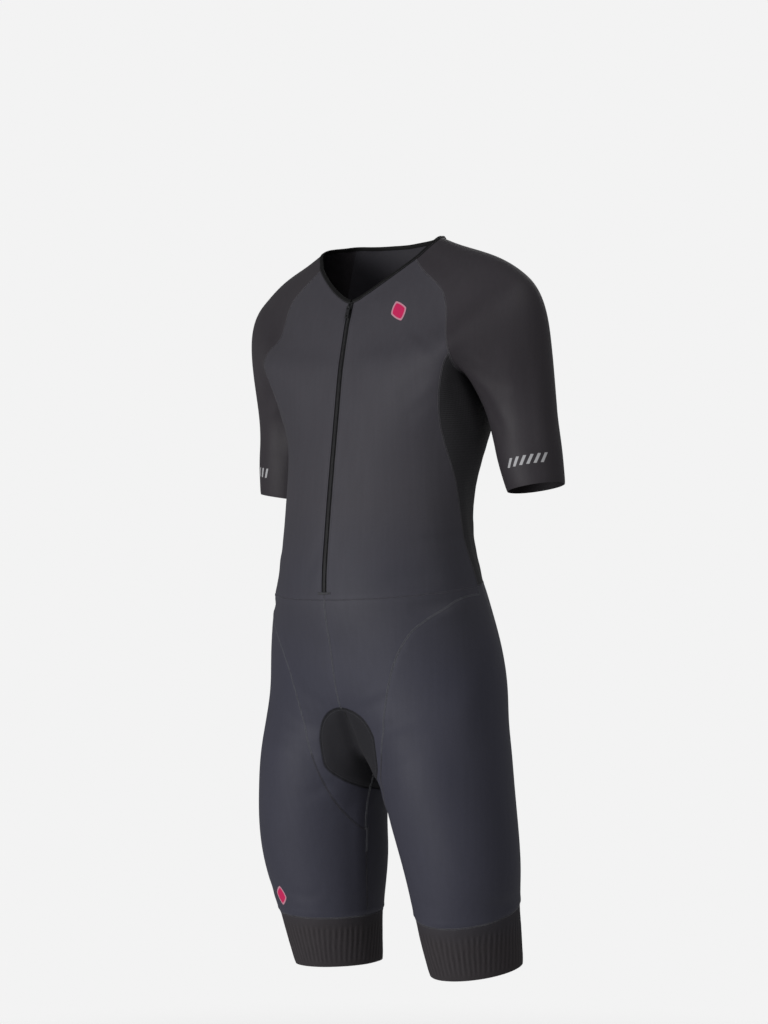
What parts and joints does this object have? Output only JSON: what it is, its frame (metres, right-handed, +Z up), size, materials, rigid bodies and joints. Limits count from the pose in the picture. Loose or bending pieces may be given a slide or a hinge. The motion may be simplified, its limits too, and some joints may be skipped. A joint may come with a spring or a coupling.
{
  "type": "triathlon suit",
  "caption": "Short-sleeved one-piece triathlon suit with a half-length front zip, raglan sleeves, a saddle pad and ribbed leg cuffs, held in its worn form.",
  "frame": {"origin": "midway between the two points where the neckline crosses the tops of the shoulders, where the wearer holds the suit up", "axes": "+Z up, +X towards the wearer's left, -Y the way the wearer faces"},
  "size_m": [0.5244, 0.261, 1.0325],
  "materials": {
    "body_knit": "smooth, slightly shiny stretch knit, charcoal",
    "side_mesh": "fine open mesh knit, near black",
    "sleeve_knit": "thin stretch knit, warm charcoal",
    "shorts_knit": "dense stretch knit, bluish charcoal",
    "ribbed_cuff": "elastic band, ribbed along its lower part",
    "pad_cloth": "brushed knit over a thin pad, dull black",
    "neck_tape": "folded elastic tape, black",
    "zip_tape": "woven tape, black",
    "zip_coil": "nylon coil, dark grey",
    "zip_metal": "black lacquer, satin",
    "tack_thread": "dense satin stitching, grey"
  },
  "bodies": {
    "suit": {"front_left": "body_knit", "front_right": "body_knit", "side_left": "side_mesh", "side_right": "side_mesh", "back": "body_knit", "sleeve_left": "sleeve_knit", "sleeve_right": "sleeve_knit", "shorts_front_left": "shorts_knit", "shorts_front_right": "shorts_knit", "leg_left": "shorts_knit", "leg_right": "shorts_knit", "leg_cuff_left": "ribbed_cuff", "leg_cuff_right": "ribbed_cuff", "saddle_pad": "pad_cloth", "neck_binding": "neck_tape", "zip_tape_left": "zip_tape", "zip_tape_right": "zip_tape", "zip_coil": "zip_coil", "zip_slider": "zip_metal", "zip_end_tack": "tack_thread"},
    "zip_pull": {"zip_pull": "zip_metal"}
  },
  "joints": [
    {"name": "pull_swing", "type": "hinge", "parent": "suit", "child": "zip_pull", "pos_m": [0, -0.07842, -0.09424], "axis": [-1, 0, 0], "range_deg": [0, 160]}
  ]
}
